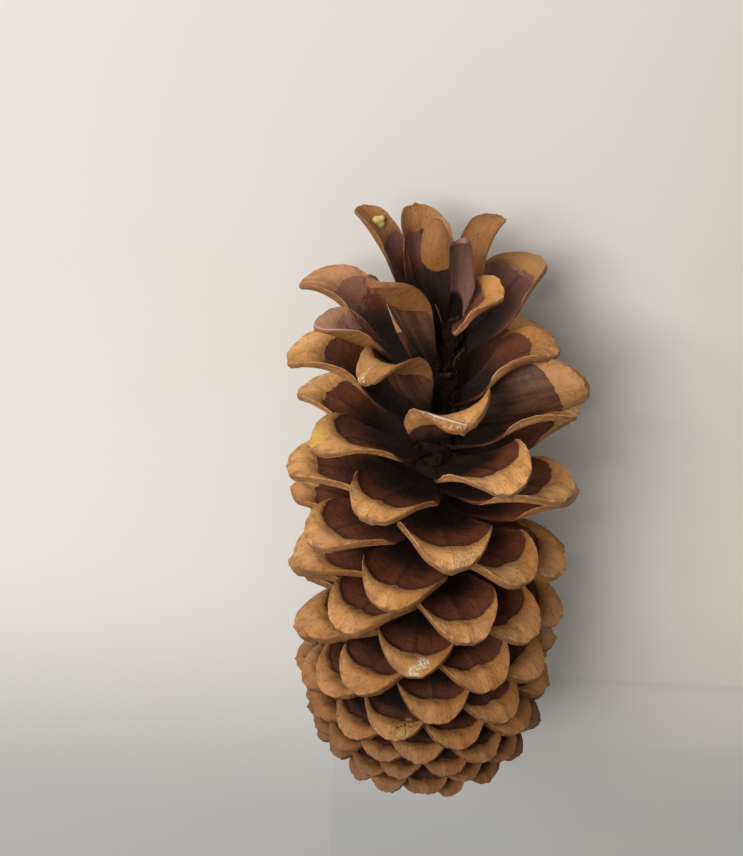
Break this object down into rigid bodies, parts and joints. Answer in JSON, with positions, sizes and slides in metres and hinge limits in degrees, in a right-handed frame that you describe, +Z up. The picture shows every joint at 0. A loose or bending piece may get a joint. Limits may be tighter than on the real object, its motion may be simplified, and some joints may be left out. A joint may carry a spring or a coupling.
{
  "type": "sugar pine cone",
  "caption": "Dry, open conifer cone lying on its side: a tapered woody axis with broad, dished scales set in spirals, packed at the blunt base and spread wide at the tip.",
  "frame": {"origin": "middle of the cone in plan, on the surface that it lies on", "axes": "+Y along the cone to its tip, +Z up, the cone's axis level"},
  "size_m": [0.1218, 0.276, 0.1162],
  "materials": {
    "cone_wood": "dry, matt scale wood: ochre-tan outer lips, dark maroon-brown seed beds"
  },
  "bodies": {
    "root": {"cone": "cone_wood"}
  },
  "joints": []
}
